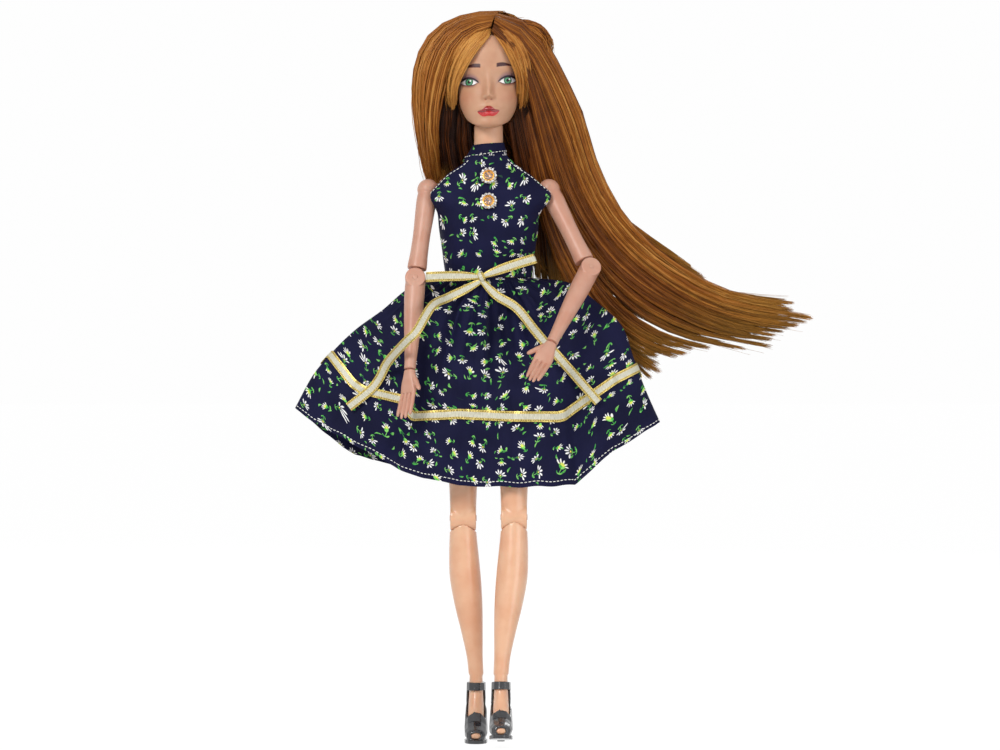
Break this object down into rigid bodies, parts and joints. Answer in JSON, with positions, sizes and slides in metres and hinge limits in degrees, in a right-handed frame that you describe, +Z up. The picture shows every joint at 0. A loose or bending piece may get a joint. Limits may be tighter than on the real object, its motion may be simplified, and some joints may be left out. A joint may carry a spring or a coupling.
{
  "type": "fashion doll",
  "caption": "Jointed fashion doll with long swept hair, a halter dress with a gathered skirt and ribbon bow, and heeled shoes.",
  "frame": {"origin": "middle of the bounding box, on the floor that the right sole rests on", "axes": "+Z up from the feet to the head, the doll faces -Y, and its left side is at +X"},
  "size_m": [0.2152, 0.0663, 0.3007],
  "materials": {
    "face_vinyl": "soft rotocast vinyl, satin, with painted eyes, brows and lips",
    "body_plastic": "moulded plastic, satin",
    "arm_plastic": "moulded plastic, satin, a little pinker than the legs",
    "leg_plastic": "moulded plastic, glossy tan",
    "link_plastic": "moulded plastic links and pins",
    "hair_fibre": "rooted straight synthetic fibre, golden auburn, glossy along the strands",
    "printed_cotton": "navy plain weave cotton with a small flower print",
    "gold_ribbon": "cream satin ribbon with gold metallic edges",
    "closure_tape": "hook and loop tape",
    "jewelled_metal": "gilt cup with a ring of clear crystals",
    "amber_stone": "faceted amber stone with foil behind",
    "shoe_plastic": "glossy black moulded plastic with raised leaf ornament"
  },
  "bodies": {
    "torso": {"torso_front": "body_plastic", "torso_back": "body_plastic", "neck_post": "body_plastic", "bodice": "printed_cotton", "collar": "printed_cotton", "closure_loop_tape": "closure_tape", "closure_hook_tape": "closure_tape", "skirt": "printed_cotton", "skirt_ribbon": "gold_ribbon", "bow_knot": "gold_ribbon", "bow_loop_right": "gold_ribbon", "bow_loop_left": "gold_ribbon", "bow_tail_right": "gold_ribbon", "bow_tail_left": "gold_ribbon", "upper_button": "jewelled_metal", "upper_button_stone": "amber_stone", "lower_button": "jewelled_metal", "lower_button_stone": "amber_stone"},
    "head": {"head_shell": "face_vinyl", "hair_cap": "hair_fibre", "hair_lock_right": "hair_fibre", "hair_fringe_right": "hair_fibre", "hair_fringe_left": "hair_fibre", "hair_back": "hair_fibre", "hair_fall_outer": "hair_fibre", "hair_fall_middle": "hair_fibre", "hair_fall_inner": "hair_fibre"},
    "right_shoulder": {"right_shoulder_link": "link_plastic"},
    "right_upper_arm": {"right_upper_arm": "arm_plastic", "right_shoulder_pin": "link_plastic"},
    "right_elbow": {"right_elbow_link": "link_plastic"},
    "right_forearm": {"right_forearm": "arm_plastic", "right_elbow_pin": "link_plastic"},
    "right_hand": {"right_hand": "arm_plastic"},
    "right_hip": {"right_hip_link": "link_plastic"},
    "right_thigh": {"right_thigh": "leg_plastic", "right_hip_pin": "link_plastic", "right_knee_pin": "link_plastic"},
    "right_calf": {"right_calf": "leg_plastic", "right_shoe": "shoe_plastic"},
    "left_shoulder": {"left_shoulder_link": "link_plastic"},
    "left_upper_arm": {"left_upper_arm": "arm_plastic", "left_shoulder_pin": "link_plastic"},
    "left_elbow": {"left_elbow_link": "link_plastic"},
    "left_forearm": {"left_forearm": "arm_plastic", "left_elbow_pin": "link_plastic"},
    "left_hand": {"left_hand": "arm_plastic"},
    "left_hip": {"left_hip_link": "link_plastic"},
    "left_thigh": {"left_thigh": "leg_plastic", "left_hip_pin": "link_plastic", "left_knee_pin": "link_plastic"},
    "left_calf": {"left_calf": "leg_plastic", "left_shoe": "shoe_plastic"}
  },
  "joints": [
    {"name": "head_turn", "type": "hinge", "parent": "torso", "child": "head", "pos_m": [-0.02841, 0.01137, 0], "axis": [0, 0, 1], "range_deg": [-80, 80], "deforming": ["hair_lock_right", "hair_fringe_right", "hair_fringe_left", "hair_back", "hair_fall_outer", "hair_fall_middle", "hair_fall_inner"]},
    {"name": "right_arm_swing", "type": "hinge", "parent": "torso", "child": "right_shoulder", "pos_m": [-0.05321, 0.01037, 0.2256], "axis": [1, 0, 0], "range_deg": [-130, 60], "deforming": ["skirt", "skirt_ribbon", "bow_tail_right", "bow_tail_left", "bow_loop_right", "bow_loop_left", "bow_knot"]},
    {"name": "right_arm_spread", "type": "hinge", "parent": "right_shoulder", "child": "right_upper_arm", "pos_m": [-0.05321, 0.01037, 0.2256], "axis": [0, 0.9613, -0.2756], "range_deg": [-7, 70]},
    {"name": "right_elbow_turn", "type": "hinge", "parent": "right_upper_arm", "child": "right_elbow", "pos_m": [-0.05817, -0.00029, 0.18841], "axis": [0.1271, 0.2734, 0.9535], "range_deg": [-90, 90]},
    {"name": "right_elbow_bend", "type": "hinge", "parent": "right_elbow", "child": "right_forearm", "pos_m": [-0.05817, -0.00029, 0.18841], "axis": [0, 0.9613, -0.2756], "range_deg": [-85, 4]},
    {"name": "right_hand_turn", "type": "hinge", "parent": "right_forearm", "child": "right_hand", "pos_m": [-0.06016, -0.01075, 0.15194], "axis": [0.0523, 0.2753, 0.9599], "range_deg": [-90, 90]},
    {"name": "right_leg_swing", "type": "hinge", "parent": "torso", "child": "right_hip", "pos_m": [-0.03881, 0.01037, 0.153], "axis": [1, 0, 0], "range_deg": [-90, 20], "deforming": ["skirt", "skirt_ribbon"]},
    {"name": "right_leg_spread", "type": "hinge", "parent": "right_hip", "child": "right_thigh", "pos_m": [-0.03881, 0.01037, 0.153], "axis": [0, 1, 0], "range_deg": [-2, 35]},
    {"name": "right_knee", "type": "hinge", "parent": "right_thigh", "child": "right_calf", "pos_m": [-0.03881, 0.01037, 0.091], "axis": [1, 0, 0], "range_deg": [0, 85]},
    {"name": "left_arm_swing", "type": "hinge", "parent": "torso", "child": "left_shoulder", "pos_m": [-0.00361, 0.01037, 0.2256], "axis": [1, 0, 0], "range_deg": [-130, 14], "deforming": ["skirt", "skirt_ribbon", "bow_tail_right", "bow_tail_left", "bow_loop_right", "bow_loop_left", "bow_knot"]},
    {"name": "left_arm_spread", "type": "hinge", "parent": "left_shoulder", "child": "left_upper_arm", "pos_m": [-0.00361, 0.01037, 0.2256], "axis": [0, 0.9409, -0.3387], "range_deg": [-60, 20]},
    {"name": "left_elbow_turn", "type": "hinge", "parent": "left_upper_arm", "child": "left_elbow", "pos_m": [0.01256, -0.00165, 0.19221], "axis": [-0.4147, 0.3082, 0.8562], "range_deg": [-90, 90]},
    {"name": "left_elbow_bend", "type": "hinge", "parent": "left_elbow", "child": "left_forearm", "pos_m": [0.01256, -0.00165, 0.19221], "axis": [-0.2232, 0.8777, -0.4241], "range_deg": [-49, 40]},
    {"name": "left_hand_turn", "type": "hinge", "parent": "left_forearm", "child": "left_hand", "pos_m": [-0.00287, -0.01986, 0.16264], "axis": [0.4061, 0.4793, 0.7781], "range_deg": [-90, 90]},
    {"name": "left_leg_swing", "type": "hinge", "parent": "torso", "child": "left_hip", "pos_m": [-0.01801, 0.01037, 0.153], "axis": [1, 0, 0], "range_deg": [-65, 25], "deforming": ["skirt", "skirt_ribbon"]},
    {"name": "left_leg_spread", "type": "hinge", "parent": "left_hip", "child": "left_thigh", "pos_m": [-0.01801, 0.01037, 0.153], "axis": [0, 0.989, -0.1478], "range_deg": [-35, 0]},
    {"name": "left_knee", "type": "hinge", "parent": "left_thigh", "child": "left_calf", "pos_m": [-0.01801, 0.00121, 0.09168], "axis": [1, 0, 0], "range_deg": [0, 85]}
  ]
}
